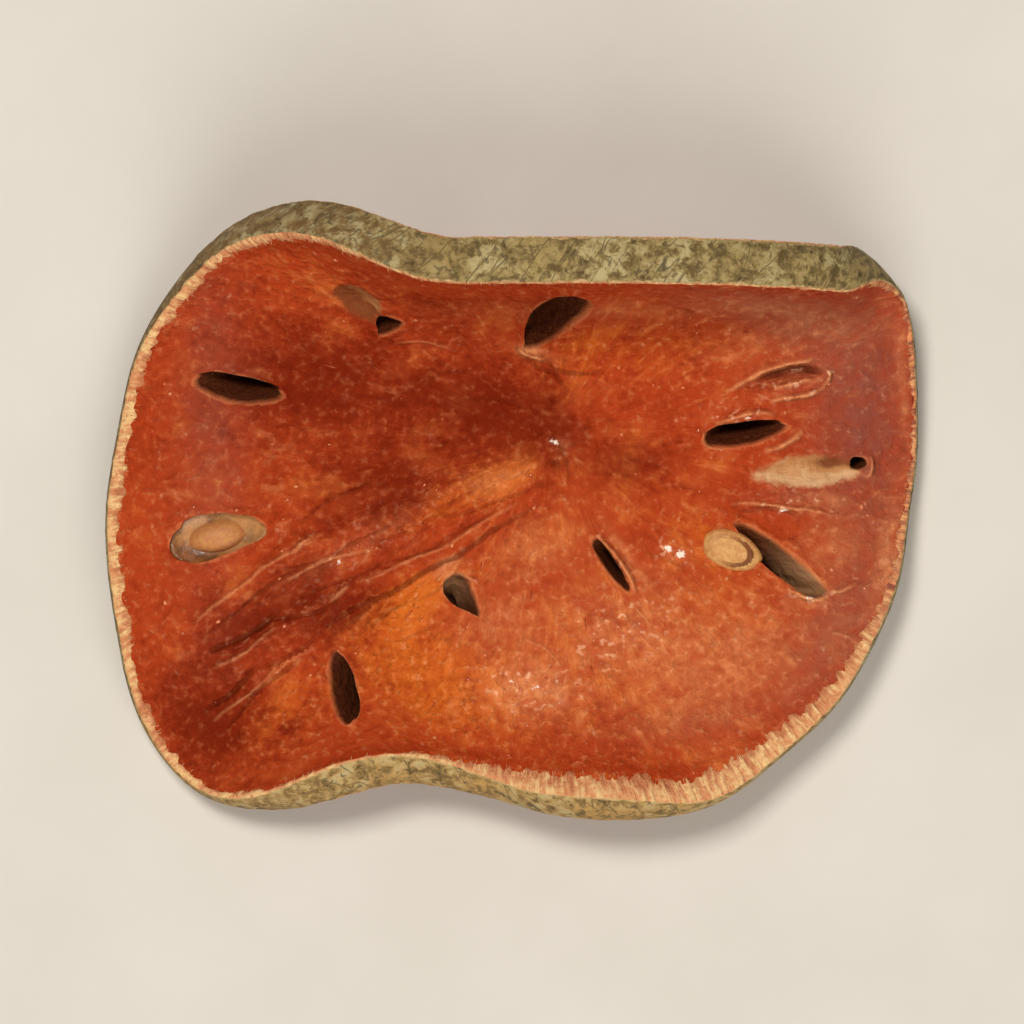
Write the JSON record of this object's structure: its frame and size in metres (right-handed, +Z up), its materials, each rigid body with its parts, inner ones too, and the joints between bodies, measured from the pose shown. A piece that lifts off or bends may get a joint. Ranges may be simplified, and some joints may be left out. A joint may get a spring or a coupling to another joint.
{
  "type": "dried bael fruit slice",
  "caption": "Dried cross-cut slice of bael fruit, curled by drying, with a hard rind rim, radiating seed cells, seeds and dried gum.",
  "frame": {"origin": "centre of the object's box on the surface that it lies on", "axes": "+Z up, the cut face's way; +X along the slice's longest way, to the right as seen from above with the upright lip away; +Y towards the upright lip"},
  "size_m": [0.0722, 0.0546, 0.0223],
  "materials": {
    "pulp": "dried fruit flesh, fibrous and translucent, red to orange, half glossy",
    "rind": "dry woody rind, matt, mottled grey-green outside and pale yellow where cut",
    "seed": "pale dry seed, cut or whole, matt",
    "gum": "dried clear gum, amber, glossy"
  },
  "bodies": {
    "root": {"bael_slice": "pulp"}
  },
  "joints": []
}
